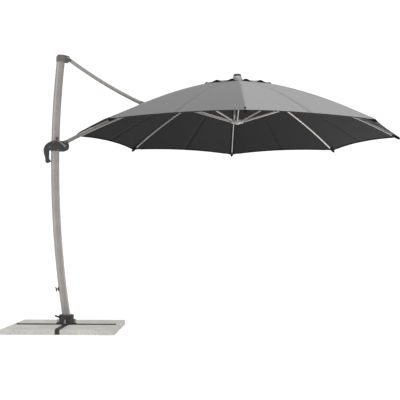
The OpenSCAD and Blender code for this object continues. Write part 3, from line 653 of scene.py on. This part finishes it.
def face_up(mesh: bmesh.types.BMesh) -> None:
    """Turns all faces of an open surface to the side that looks up."""
    bmesh.ops.recalc_face_normals(mesh, faces=mesh.faces)
    if sum(f.normal.z * f.calc_area() for f in mesh.faces) < 0:
        bmesh.ops.reverse_faces(mesh, faces=mesh.faces)


def panel_of(k: int, across: float) -> int:
    """Gives the number of the panel between two ribs that a side of gore k belongs to."""
    return k if across > 0 else (k - 2) % SIDES + 1


def mark_painted_panel_shade(mesh: bmesh.types.BMesh, k: int, centre: Vector) -> None:
    """Notes on each face of a gore whether its panel is one of every second panel that gets the painted
    shade.

    Args:
        mesh: The gore's bmesh in its final place.
        k: The rib's number, from 1.
        centre: A point on the canopy's axis.
    """
    layer = mesh.loops.layers.float.new(PANEL_SHADE)
    square = rib_place(k, centre).to_3x3().col[1]
    for face in mesh.faces:
        across = (face.calc_center_median() - centre).dot(square)
        for loop in face.loops:
            loop[layer] = panel_of(k, across) % 2


@dataclass
class CoverShape:
    """Geometry of the stretched cover, read from the solid that it replaces."""

    centre: Vector
    corner_r: float
    rim_z: float
    apex_z: float
    rib_sag: float = 68 * MM
    scallop: float = 45 * MM
    slit_scallop: float = 6 * MM
    slit_lift: float = 21 * MM
    dip: float = 5 * MM

    @classmethod
    def read(cls) -> "CoverShape":
        """Measures the cover's solid.

        Returns:
            The shape of the cover in metres.
        """
        low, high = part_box("canopy")
        centre = (low + high) / 2
        return cls(centre, (high.x - low.x) / 2 / math.cos(HALF_SIDE), low.z, high.z)

    @property
    def apothem(self) -> float:
        """Distance from the centre to the straight line between two corners."""
        return self.corner_r * math.cos(HALF_SIDE)

    def bow(self) -> tuple[float, float, float]:
        """Finds the circle that a panel follows from the top to its rim.

        Returns:
            The circle's radius and the apothem and height of its centre.
        """
        drop = self.apex_z - self.rim_z
        whole = math.hypot(self.corner_r, drop)
        chord = math.hypot(self.apothem, drop)
        sag = self.rib_sag * chord / whole * self.apothem / self.corner_r
        radius = (chord**2 / 4 + sag**2) / (2 * sag)
        back = radius - sag
        return (
            radius,
            self.apothem / 2 - drop / chord * back,
            (self.apex_z + self.rim_z) / 2 - self.apothem / chord * back,
        )

    def height(self, apothem: float) -> float:
        """Height of the cover's top at a distance from the centre, measured square to a side."""
        radius, mid_a, mid_z = self.bow()
        return mid_z + math.sqrt(radius**2 - (apothem - mid_a) ** 2)

    def rim(self, turn: float, cut: float) -> float:
        """Distance from the centre to the scalloped rim.

        Args:
            turn: Angle from the middle of the side, in radians.
            cut: Depth of the scallop.

        Returns:
            The distance in metres.
        """
        half = self.corner_r * math.sin(HALF_SIDE)
        bend = (half**2 + cut**2) / (2 * cut)
        mid = self.apothem - cut + bend
        return mid * math.cos(turn) - math.sqrt(bend**2 - (mid * math.sin(turn)) ** 2)


@dataclass
class Cover:
    """The eight-sided cover, made as gores that hang together at the seams."""

    shape: CoverShape
    hole_r: float = 300 * MM
    columns: int = 12
    rows: int = 36
    tape_columns: int = 2
    # width of the black tape beside each rib on the underside; the tape is also a painted shadow line of
    # the rib
    rib_tape_and_shadow: float = 26 * MM
    tape_from: float = 90 * MM
    hem: float = 18 * MM
    hem_deep: float = 3.2 * MM
    boom_hem_deep: float = 10 * MM
    hem_under: float = 1 * MM
    hem_back: tuple[float, float] = (1 * MM, 14 * MM)
    hem_near: float = 1.6  # how far in the rim may lie, in depths of a scallop
    rim_step: float = 4 * MM  # greatest rise along one edge of the rim
    cloth: float = 1.6 * MM
    ease: float = 20 * MM  # what a rib's bow adds to its straight length
    slit: tuple[float, float] = (1135 * MM, 910 * MM)
    slit_half: float = 30 * MM
    slit_edge: float = 11 * MM
    slit_near: tuple[float, float] = (80 * MM, 90 * MM)

    def place(self, k: int, side: int, across: float, down: float) -> tuple[Vector, Vector]:
        """Finds where a point of the flat grid lies on the stretched cover.

        Args:
            k: The rib's number, from 1.
            side: 1 or -1, the side of the rib that it lies on.
            across: From 0 on the rib to 1 in the middle of the panel.
            down: From 0 at the top to 1 at the rim.

        Returns:
            The point seen from the centre with the rib along +X, and its cloth coordinates.
        """
        shape = self.shape
        nominal = self.hole_r + (shape.apothem - self.hole_r) * down
        wide = nominal * math.tan(HALF_SIDE)
        step = across * self.columns
        band = min(self.rib_tape_and_shadow, 0.5 * wide)
        beyond = step - self.tape_columns
        if beyond <= 0:
            off = band * step / self.tape_columns
        else:
            off = band + (wide - band) * beyond / (self.columns - self.tape_columns)
        share = off / wide
        turn = math.atan(math.tan(HALF_SIDE) * (1 - share))
        on_boom = panel_of(k, side) == SLIT_PANEL
        edge = shape.rim(turn, shape.slit_scallop if on_boom else shape.scallop)
        reach = self.hole_r + (edge - self.hole_r) * down
        apothem = reach * math.cos(turn)
        sink = shape.dip * share * (2 - share) * (4 * down * (1 - down)) ** 0.8
        angle = side * (HALF_SIDE - turn)
        lift = shape.slit_lift * (1 - (1 - share) ** 8) * down**6 if on_boom else 0.0
        level = shape.height(apothem) - sink + lift
        point = Vector((reach * math.cos(angle), reach * math.sin(angle), level))
        slant = math.hypot(reach, shape.apex_z - point.z)
        return point, Vector((side * off, slant))

    def row_share(self, row: int) -> float:
        """Gives how far down the cover a row of the grid lies; the last row is the hem."""
        hem = self.hem / (self.shape.apothem - self.hole_r)
        return 1.0 if row == self.rows else row / (self.rows - 1) * (1 - hem)

    def gore(self, k: int, side: int) -> bpy.types.Object:
        """Cuts and sews the half gore on one side of a rib.

        Args:
            k: The rib's number, from 1.
            side: 1 or -1, the side of the rib that it lies on.

        Returns:
            The half gore, standing proud of its rib.
        """
        mesh = bmesh.new()
        bmesh.ops.create_grid(mesh, x_segments=self.columns, y_segments=self.rows, size=1.0)
        sheet = mesh.loops.layers.uv.new("cloth")
        place = rib_place(k, self.shape.centre)
        spot: dict[int, Vector] = {}
        for corner in mesh.verts:
            down = self.row_share(round((corner.co.y + 1) / 2 * self.rows))
            point, flat = self.place(k, side, (corner.co.x + 1) / 2, down)
            spot[corner.index] = flat
            corner.co = place @ point
        for face in mesh.faces:
            middle = sum(spot[c.index].x for c in face.verts) / len(face.verts)
            reach = max(spot[c.index].y for c in face.verts)
            for loop in face.loops:
                loop[sheet].uv = spot[loop.vert.index]
            # faces near the rib get the black tape on the underside, partly a painted shadow of the rib
            face.material_index = 2 if abs(middle) < self.rib_tape_and_shadow and reach > self.tape_from else 0
        on_boom = panel_of(k, side) == SLIT_PANEL
        if on_boom:
            rim = [f for f in mesh.faces if any(e.is_boundary for e in f.edges)]
            for face in rim:
                middle = face.calc_center_median().xy - self.shape.centre.xy
                if middle.length > self.shape.apothem - self.shape.scallop:
                    face.material_index = 1
        self.fold_hem(mesh, self.boom_hem_deep if on_boom else self.hem_deep)
        if on_boom:
            self.cut_slit(mesh)
        mark_painted_panel_shade(mesh, k, self.shape.centre)
        face_up(mesh)
        outside = [Paint.COVER, Paint.TAPE, Paint.COVER]
        # the underside faces get the painted shade
        inside = [Paint.LINING, Paint.TAPE, Paint.TAPE]
        gore = settle(mesh, f"cover_gore_{k}_{'left' if side > 0 else 'right'}", outside + inside)
        thicken(gore, self.cloth, {"offset": -1.0, "material_offset": 3, "use_even_offset": True})
        return gore

    def fold_hem(self, mesh: bmesh.types.BMesh, deep: float) -> None:
        """Turns the rim under into a narrow black hem.

        Args:
            mesh: The gore's bmesh, with its rim free.
            deep: How far the hem hangs down.
        """
        centre = self.shape.centre
        near = self.shape.apothem - self.hem_near * self.shape.scallop
        rim = [
            e
            for e in mesh.edges
            if e.is_boundary
            and all((v.co.xy - centre.xy).length > near for v in e.verts)
            and abs(e.verts[0].co.z - e.verts[1].co.z) < self.rim_step
        ]
        for back, drop in zip(self.hem_back, (deep, self.hem_under)):
            made = bmesh.ops.extrude_edge_only(mesh, edges=rim)["geom"]
            rim = [g for g in made if isinstance(g, bmesh.types.BMEdge)]
            for corner in {v for e in rim for v in e.verts}:
                out = (corner.co - centre).to_3d()
                out.z = 0
                corner.co -= out.normalized() * back + Vector((0, 0, drop))
            for face in (g for g in made if isinstance(g, bmesh.types.BMFace)):
                face.material_index = 1
            rim = [e for e in rim if e.is_boundary and len(e.link_faces) == 1]

    def cut_slit(self, mesh: bmesh.types.BMesh) -> None:
        """Cuts the slit that the stay passes through, with a bound edge round it.

        Args:
            mesh: The bmesh of a gore beside the slit.
        """
        start, end = (self.shape.centre.x - reach for reach in self.slit)

        def inside(face: bmesh.types.BMFace, ahead: float, aside: float) -> bool:
            """Tells whether a face lies in the slit, made wider by two margins."""
            mid = face.calc_center_median()
            return start - ahead < mid.x < end + ahead and abs(mid.y) < self.slit_half + aside

        for grow in (0.0, self.slit_edge):
            aside = self.slit_half + grow
            planes = [((x, 0, 0), (1, 0, 0)) for x in (start - grow, end + grow)]
            planes += [((0, y, 0), (0, 1, 0)) for y in (aside, -aside)]
            for spot, way in planes:
                near = {f for f in mesh.faces if inside(f, *self.slit_near)}
                around = {part for f in near for part in (*f.edges, *f.verts)}
                parts = list(near | around)
                bmesh.ops.bisect_plane(mesh, geom=parts, dist=1e-6, plane_co=spot, plane_no=way)
        for face in mesh.faces:
            if inside(face, self.slit_edge, self.slit_edge):
                face.material_index = 1
        gone = [f for f in mesh.faces if inside(f, 0.0, 0.0)]
        bmesh.ops.delete(mesh, geom=gone, context="FACES")

    def build(self) -> None:
        """Makes the eight gores in halves and hangs both halves on the rib."""
        for k, side in itertools.product(range(1, SIDES + 1), (1, -1)):
            gore = self.gore(k, side)
            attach(gore, f"rib_{k}")
            pleat(gore, self.shape, k)
        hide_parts("canopy")


def pleat(piece: bpy.types.Object, shape: CoverShape, k: int) -> None:
    """Gives a soft piece that rides on its rib its own copy of its mesh.

    Args:
        piece: The piece, already riding on the rib.
        shape: The stretched cover.
        k: The rib's number, from 1.
    """
    turned = rib_place(k, shape.centre).to_3x3()
    out, along = turned.col[0], turned.col[1]
    anchor = shape.centre + out * shape.corner_r / 2
    anchor.z = shape.height(shape.apothem / 2)
    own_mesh(piece)


@dataclass
class VentCap:
    """The small cap over the vent, lifted in arches between its fixing points."""

    shape: CoverShape
    columns: int = 12
    rows: int = 12
    hole_r: float = 56 * MM
    open_r: float = 300 * MM
    dish: float = 14 * MM
    cloth: float = 1.4 * MM
    above: float = 2.5 * MM
    arch: float = 25 * MM
    cut: float = 20 * MM
    net_at: float = 0.95
    net_above: float = 1.5 * MM
    net_below: float = 2 * MM
    net_wall: float = 0.8 * MM

    def __post_init__(self) -> None:
        """Reads the cap's solid."""
        low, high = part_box("vent_cap")
        self.corner_r = (high.x - low.x) / 2 / math.cos(HALF_SIDE)

    def height(self, apothem: float) -> float:
        """Height of the cap where it isn't arched: on the cover, and flatter over the open vent."""
        inside = max(0.0, 1 - apothem / self.open_r)
        return self.shape.height(apothem) + self.above - self.dish * inside**2

    def place(self, across: float, down: float) -> tuple[Vector, Vector]:
        """Finds where a point of the flat grid lies on the cap.

        Args:
            across: From -1 to 1 across the gore, 0 on the rib.
            down: From 0 at the top to 1 at the rim.

        Returns:
            The point seen from the centre with the rib along +X, and its cloth coordinates.
        """
        share = abs(across)
        turn = math.atan(math.tan(HALF_SIDE) * (1 - share))
        apothem = self.corner_r * math.cos(HALF_SIDE)
        wave = math.sin(math.pi * share) ** 3
        edge = apothem / math.cos(turn) - self.cut * wave
        reach = self.hole_r + (edge - self.hole_r) * down
        z = self.height(reach * math.cos(turn)) + self.arch * wave * down**4
        side = 1 if across >= 0 else -1
        angle = side * (HALF_SIDE - turn)
        point = Vector((reach * math.cos(angle), reach * math.sin(angle), z))
        return point, Vector((point.y, point.x))

    def gore(self, k: int) -> bpy.types.Object:
        """Makes the cap's gore over one rib.

        Args:
            k: The rib's number, from 1.

        Returns:
            The gore.
        """
        mesh = bmesh.new()
        bmesh.ops.create_grid(mesh, x_segments=2 * self.columns, y_segments=self.rows, size=1.0)
        sheet = mesh.loops.layers.uv.new("cloth")
        place = rib_place(k, self.shape.centre)
        spot: dict[int, Vector] = {}
        for corner in mesh.verts:
            point, flat = self.place(corner.co.x, (corner.co.y + 1) / 2)
            spot[corner.index] = flat
            corner.co = place @ point
        for face in mesh.faces:
            for loop in face.loops:
                loop[sheet].uv = spot[loop.vert.index]
        mark_painted_panel_shade(mesh, k, self.shape.centre)
        face_up(mesh)
        # the cap's underside takes the black mesh finish, a painted shade under the arches
        gore = settle(mesh, f"vent_gore_{k}", [Paint.COVER, Paint.MESH])
        thicken(gore, self.cloth, {"offset": -1.0, "material_offset": 1})
        return gore

    def net(self, k: int) -> bpy.types.Object:
        """Makes the dark net that closes the vent under one gore of the cap.

        Args:
            k: The rib's number, from 1.

        Returns:
            The net.
        """
        mesh = bmesh.new()
        bmesh.ops.create_grid(mesh, x_segments=2 * self.columns, y_segments=2, size=1.0)
        place = rib_place(k, self.shape.centre)
        for corner in mesh.verts:
            top, _ = self.place(corner.co.x, self.net_at)
            turn = math.atan(math.tan(HALF_SIDE) * (1 - abs(corner.co.x)))
            low = self.shape.height(math.hypot(top.x, top.y) * math.cos(turn)) + self.net_above
            tall = max(0.0, top.z - self.net_below - low)
            corner.co = place @ Vector((top.x, top.y, low + tall * (corner.co.y + 1) / 2))
        bmesh.ops.recalc_face_normals(mesh, faces=mesh.faces)
        net = settle(mesh, f"vent_net_{k}", [Paint.MESH])
        thicken(net, self.net_wall, {"offset": -1.0})
        return net

    def build(self) -> None:
        """Makes the cap and its net and hangs them on the ribs."""
        for k in range(1, SIDES + 1):
            gore, net = self.gore(k), self.net(k)
            for piece in (gore, net):
                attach(piece, f"rib_{k}")
                pleat(piece, self.shape, k)
        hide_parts("vent_cap")


@dataclass
class RibPocket:
    """The stitched pocket that holds a rib's end in the corner of the cover."""

    shape: CoverShape
    long: float = 92 * MM
    wide: float = 17 * MM
    tall: float = 15.2 * MM
    ball_r: float = 11.5 * MM
    past_ball: float = 14.5 * MM
    corner: float = 3.5 * MM
    swell: float = 0.06
    nip: float = 0.3
    nip_from: float = 0.8
    taper: float = 0.9
    fall: float = math.radians(27.9)

    def end_ball(self) -> tuple[float, float]:
        """Finds the ball on a rib's end.

        Returns:
            Its distance from the canopy's axis and its height.
        """
        low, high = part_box("rib_1")
        reach = (high.x - self.ball_r - self.shape.centre.x) / math.cos(HALF_SIDE)
        return reach, low.z + self.ball_r

    def build(self, k: int) -> None:
        """Sews one pocket and hangs it on its rib.

        Args:
            k: The rib's number, from 1.
        """
        reach, level = self.end_ball()
        back = self.long / 2 - self.past_ball
        mesh = bmesh.new()
        bmesh.ops.create_cone(
            mesh, cap_ends=True, segments=16, radius1=1.0, radius2=self.taper, depth=1.0
        )
        long_edges = [e for e in mesh.edges if abs(e.verts[0].co.z - e.verts[1].co.z) > 0.5]
        bmesh.ops.subdivide_edges(mesh, edges=long_edges, cuts=6, use_grid_fill=False)
        for corner in mesh.verts:
            share = corner.co.z + 0.5
            end = max(0.0, share - self.nip_from) / (1 - self.nip_from)
            belly = 1.0 + self.swell * math.sin(math.pi * share) - self.nip * end
            wide, tall = self.wide * belly, self.tall * belly
            corner.co = Vector((corner.co.z * self.long, corner.co.y * wide, corner.co.x * tall))
        caps = [e for e in mesh.edges if e.calc_face_angle(0) > 1.0]
        bmesh.ops.bevel(
            mesh,
            geom=caps,
            affect="EDGES",
            offset=self.corner,
            segments=3,
            profile=0.5,
            material=-1,
        )
        middle = (reach - back * math.cos(self.fall), 0, level + back * math.sin(self.fall))
        tip = Matrix.Translation(middle) @ Matrix.Rotation(self.fall, 4, "Y")
        matrix = rib_place(k, self.shape.centre) @ tip
        bmesh.ops.transform(mesh, matrix=matrix, verts=mesh.verts)
        bmesh.ops.recalc_face_normals(mesh, faces=mesh.faces)
        pocket = settle(mesh, f"rib_pocket_{k}", [Paint.TAPE])
        soft = pocket.modifiers.new("soft", "SUBSURF")
        soft.levels = soft.render_levels = 1
        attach(pocket, f"rib_{k}")
        LOG.info("%s is sewn over the rib's end", pocket.name)


@dataclass
class TopCollar:
    """The gathered collar that closes the cover under the finial."""

    low_r: float = 58 * MM
    high_r: float = 42 * MM
    rise: float = 41 * MM
    lip: float = 8 * MM
    wall: float = 1.5 * MM
    gather: float = 0.8 * MM
    gathers: int = 16
    steps: int = 64

    def build(self) -> None:
        """Spins the collar round the canopy's axis and seats it on the crown."""
        low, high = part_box("finial")
        mesh = bmesh.new()
        profile = [
            (self.low_r, -self.rise),
            (self.low_r, -self.rise * 0.86),
            (self.low_r * 0.97, -self.rise * 0.72),
            (self.high_r * 1.16, -self.rise * 0.3),
            (self.high_r * 1.06, -self.rise * 0.1),
            (self.high_r, -0.6 * MM),
            (self.high_r - self.lip, -0.5 * MM),
        ]
        centre = (low + high) / 2
        ring = [mesh.verts.new((centre.x + r, centre.y, low.z + z)) for r, z in profile]
        edges = [mesh.edges.new(pair) for pair in zip(ring, ring[1:])]
        bmesh.ops.spin(
            mesh,
            geom=ring + edges,
            cent=(centre.x, centre.y, 0),
            axis=(0, 0, 1),
            angle=math.tau,
            steps=self.steps,
            use_merge=True,
        )
        bmesh.ops.remove_doubles(mesh, verts=mesh.verts, dist=1e-6)
        for corner in mesh.verts:
            turn = math.atan2(corner.co.y - centre.y, corner.co.x - centre.x)
            share = (low.z - corner.co.z) / self.rise
            corner.co.z += self.gather * math.sin(self.gathers * turn) * share
        bmesh.ops.recalc_face_normals(mesh, faces=mesh.faces)
        collar = settle(mesh, "top_collar", [Paint.COLLAR])
        thicken(collar, self.wall)
        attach(collar, "crown")
        LOG.info("%s closes the cover under the finial", collar.name)


def hang(name: str, data: bpy.types.ID, spot: Vector, way: Vector) -> bpy.types.Object:
    """Puts a lamp or a camera in the scene.

    Args:
        name: Its name.
        data: Its settings.
        spot: Where it stands.
        way: The direction that it faces.

    Returns:
        The new object.
    """
    thing = bpy.data.objects.new(name, data)
    thing.location = spot
    thing.rotation_mode = "QUATERNION"
    thing.rotation_quaternion = way.to_track_quat("-Z", "Y")
    bpy.context.scene.collection.objects.link(thing)
    return thing


@dataclass
class Sun:
    """One distant soft lamp."""

    name: str
    towards: tuple[float, float, float]
    strength: float
    softness: float
    shades: bool = True
    away: float = 8.0

    def build(self) -> None:
        """Hangs the lamp."""
        data = bpy.data.lights.new(self.name, "SUN")
        data.energy = self.strength
        data.angle = math.radians(self.softness)
        data.use_shadow = self.shades
        towards = Vector(self.towards)
        hang(self.name, data, towards * self.away, -towards)


@dataclass
class SoftBox:
    """One square soft lamp that the camera doesn't see."""

    name: str
    spot: tuple[float, float, float]
    aim: tuple[float, float, float]
    watts: float
    wide: float

    def build(self) -> None:
        """Hangs the lamp."""
        data = bpy.data.lights.new(self.name, "AREA")
        data.energy = self.watts
        data.size = self.wide
        spot = Vector(self.spot)
        hang(self.name, data, spot, Vector(self.aim) - spot).visible_camera = False


@dataclass
class Studio:
    """Camera, soft light and the pale floor."""

    eye: tuple[float, float, float] = (-1.855, -7.989, 0.825)
    look: tuple[float, float] = (0.3783, 0.9257)
    pitch: float = 3.2
    roll: float = 0.25
    lens: float = 73.8
    film: float = 36.0
    far: float = 100.0
    floor_half: float = 40.0
    ambient: float = 0.58
    backdrop: float = 1.1
    lamps: tuple[Sun | SoftBox, ...] = (
        Sun("key_front", (0.16, -0.46, 0.87), 2.3, 22.0, shades=False),
        Sun("fill_left", (-0.78, -0.50, 0.36), 0.6, 40.0),
        SoftBox("lift_right", (4.0, -0.3, 0.3), (3.6, 0.0, 2.2), 75.0, 1.6),
    )

    def camera(self) -> None:
        """Places the camera at its viewing angle."""
        data = bpy.data.cameras.new("camera")
        data.lens = self.lens
        data.sensor_width = self.film
        data.clip_end = self.far
        tilt = math.radians(self.pitch)
        ahead = Vector((self.look[0] * math.cos(tilt), self.look[1] * math.cos(tilt), math.sin(tilt)))
        lean = Matrix.Rotation(math.radians(self.roll), 3, "Z").to_quaternion()
        seen = hang("camera", data, Vector(self.eye), ahead)
        seen.rotation_quaternion = seen.rotation_quaternion @ lean
        bpy.context.scene.camera = seen

    def floor(self) -> None:
        """Lays a wide matt floor."""
        mesh = bmesh.new()
        bmesh.ops.create_grid(mesh, x_segments=4, y_segments=4, size=self.floor_half)
        ground = settle(mesh, "studio_floor", [Paint.STUDIO], smooth=False)

    def sky(self) -> None:
        """Fills the room with even light, softer than the white backdrop."""
        world = bpy.data.worlds.new("studio")
        world.use_nodes = True
        tree = world.node_tree
        tree.nodes.clear()
        white = (1.0, 1.0, 1.0, 1.0)
        seen = add_node(tree, "LightPath").outputs["Is Camera Ray"]
        soft, bright = (
            add_node(tree, "Background", {"Color": white, "Strength": strength}).outputs["Background"]
            for strength in (self.ambient, self.backdrop)
        )
        both = add_node(tree, "MixShader", links={0: seen, 1: soft, 2: bright})
        add_node(tree, "OutputWorld", links={"Surface": both.outputs["Shader"]})
        bpy.context.scene.world = world
        bpy.context.scene.view_settings.view_transform = "Standard"

    def build(self) -> None:
        """Sets up the whole studio."""
        self.camera()
        self.floor()
        self.sky()
        for lamp in self.lamps:
            lamp.build()
        LOG.info("camera, lights and floor are up")


def main() -> None:
    """Builds the whole scene in order."""
    logging.basicConfig(level=logging.INFO, format="%(message)s")
    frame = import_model()
    finish_solids(frame["nodes"])
    Studio().build()
    shape = CoverShape.read()
    Cover(shape).build()
    VentCap(shape).build()
    for k in range(1, SIDES + 1):
        RibPocket(shape).build(k)
    TopCollar().build()


if __name__ == "__main__":
    main()
